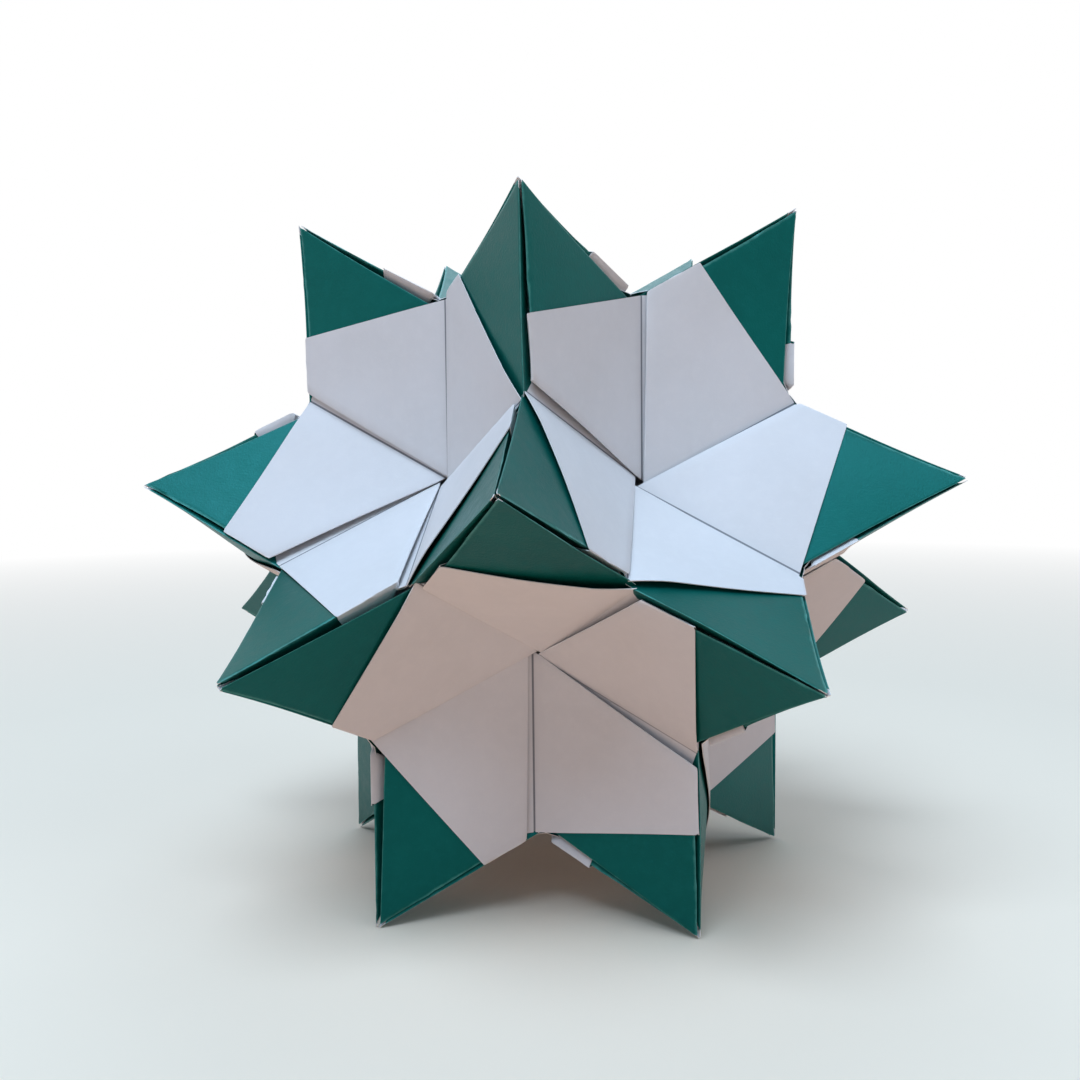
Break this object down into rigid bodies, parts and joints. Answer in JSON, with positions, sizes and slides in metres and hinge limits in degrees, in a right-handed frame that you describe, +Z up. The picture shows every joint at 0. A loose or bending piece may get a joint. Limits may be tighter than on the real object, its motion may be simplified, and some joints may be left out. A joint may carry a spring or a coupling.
{
  "type": "kusudama paper ball",
  "caption": "Star-shaped modular paper ball folded from two-sided green and white squares, standing on its points.",
  "frame": {"origin": "centre of the ball, where all its axes of symmetry cross", "axes": "+Z up through the top dimple, the ball's five-fold axis; a dimple of the lower row faces -Y"},
  "size_m": [0.1654, 0.174, 0.1412],
  "materials": {
    "two_sided_paper": "matt"
  },
  "bodies": {
    "root": {"folded_sheet_01": "two_sided_paper", "folded_sheet_02": "two_sided_paper", "folded_sheet_03": "two_sided_paper", "folded_sheet_04": "two_sided_paper", "folded_sheet_05": "two_sided_paper", "folded_sheet_06": "two_sided_paper", "folded_sheet_07": "two_sided_paper", "folded_sheet_08": "two_sided_paper", "folded_sheet_09": "two_sided_paper", "folded_sheet_10": "two_sided_paper", "folded_sheet_11": "two_sided_paper", "folded_sheet_12": "two_sided_paper", "folded_sheet_13": "two_sided_paper", "folded_sheet_14": "two_sided_paper", "folded_sheet_15": "two_sided_paper", "folded_sheet_16": "two_sided_paper", "folded_sheet_17": "two_sided_paper", "folded_sheet_18": "two_sided_paper", "folded_sheet_19": "two_sided_paper", "folded_sheet_20": "two_sided_paper", "folded_sheet_21": "two_sided_paper", "folded_sheet_22": "two_sided_paper", "folded_sheet_23": "two_sided_paper", "folded_sheet_24": "two_sided_paper", "folded_sheet_25": "two_sided_paper", "folded_sheet_26": "two_sided_paper", "folded_sheet_27": "two_sided_paper", "folded_sheet_28": "two_sided_paper", "folded_sheet_29": "two_sided_paper", "folded_sheet_30": "two_sided_paper", "folded_sheet_31": "two_sided_paper", "folded_sheet_32": "two_sided_paper", "folded_sheet_33": "two_sided_paper", "folded_sheet_34": "two_sided_paper", "folded_sheet_35": "two_sided_paper", "folded_sheet_36": "two_sided_paper", "folded_sheet_37": "two_sided_paper", "folded_sheet_38": "two_sided_paper", "folded_sheet_39": "two_sided_paper", "folded_sheet_40": "two_sided_paper", "folded_sheet_41": "two_sided_paper", "folded_sheet_42": "two_sided_paper", "folded_sheet_43": "two_sided_paper", "folded_sheet_44": "two_sided_paper", "folded_sheet_45": "two_sided_paper", "folded_sheet_46": "two_sided_paper", "folded_sheet_47": "two_sided_paper", "folded_sheet_48": "two_sided_paper", "folded_sheet_49": "two_sided_paper", "folded_sheet_50": "two_sided_paper", "folded_sheet_51": "two_sided_paper", "folded_sheet_52": "two_sided_paper", "folded_sheet_53": "two_sided_paper", "folded_sheet_54": "two_sided_paper", "folded_sheet_55": "two_sided_paper", "folded_sheet_56": "two_sided_paper", "folded_sheet_57": "two_sided_paper", "folded_sheet_58": "two_sided_paper", "folded_sheet_59": "two_sided_paper", "folded_sheet_60": "two_sided_paper"}
  },
  "joints": []
}
